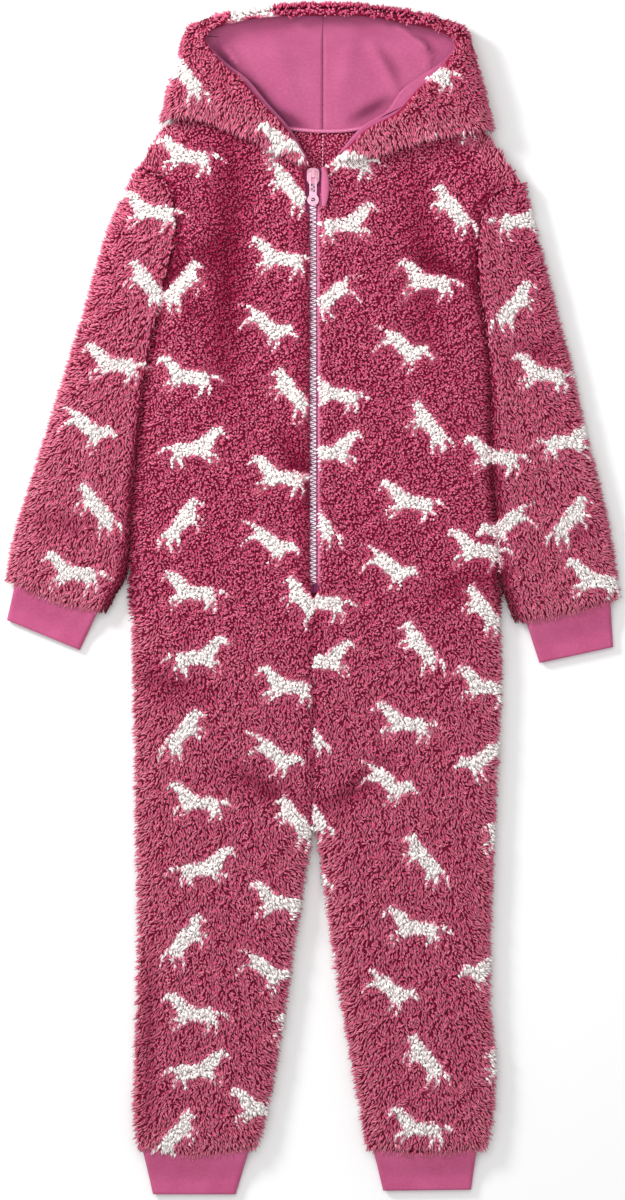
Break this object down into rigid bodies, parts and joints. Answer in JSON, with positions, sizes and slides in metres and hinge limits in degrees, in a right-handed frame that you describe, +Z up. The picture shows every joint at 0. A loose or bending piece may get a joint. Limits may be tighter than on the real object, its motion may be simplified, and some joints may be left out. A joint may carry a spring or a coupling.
{
  "type": "hooded one-piece pyjama laid flat",
  "caption": "Child's hooded one-piece pyjama of long-pile fleece with a front zip and jersey cuffs, lying flat on its back.",
  "frame": {"origin": "middle of the garment's outline, on the surface it lies on", "axes": "+Y from the crotch to the hood, +Z up from the surface through the front, -X to the wearer's right"},
  "size_m": [0.5202, 1.009, 0.026],
  "materials": {
    "fleece": "long curled pile, matt",
    "jersey": "fine knit, soft sheen",
    "zip_tape": "woven tape, matt",
    "zip_teeth": "moulded, satin",
    "zip_moulding": "moulded, glossy"
  },
  "bodies": {
    "garment": {"back_right": "fleece", "front_right": "fleece", "sleeve_right": "fleece", "hood_right": "fleece", "hood_lining_right": "jersey", "arm_cuff_right": "jersey", "leg_cuff_right": "jersey", "zip_tape_right": "zip_tape", "back_left": "fleece", "front_left": "fleece", "sleeve_left": "fleece", "hood_left": "fleece", "hood_lining_left": "jersey", "arm_cuff_left": "jersey", "leg_cuff_left": "jersey", "zip_tape_left": "zip_tape", "zip_chain": "zip_teeth", "zip_slider": "zip_moulding", "zip_guard": "jersey"},
    "zip_pull": {"zip_pull": "zip_moulding"}
  },
  "joints": [
    {"name": "pull_hinge", "type": "hinge", "parent": "garment", "child": "zip_pull", "pos_m": [0, 0.3612, 0.0157], "axis": [-1, 0, 0], "range_deg": [0, 140]}
  ]
}
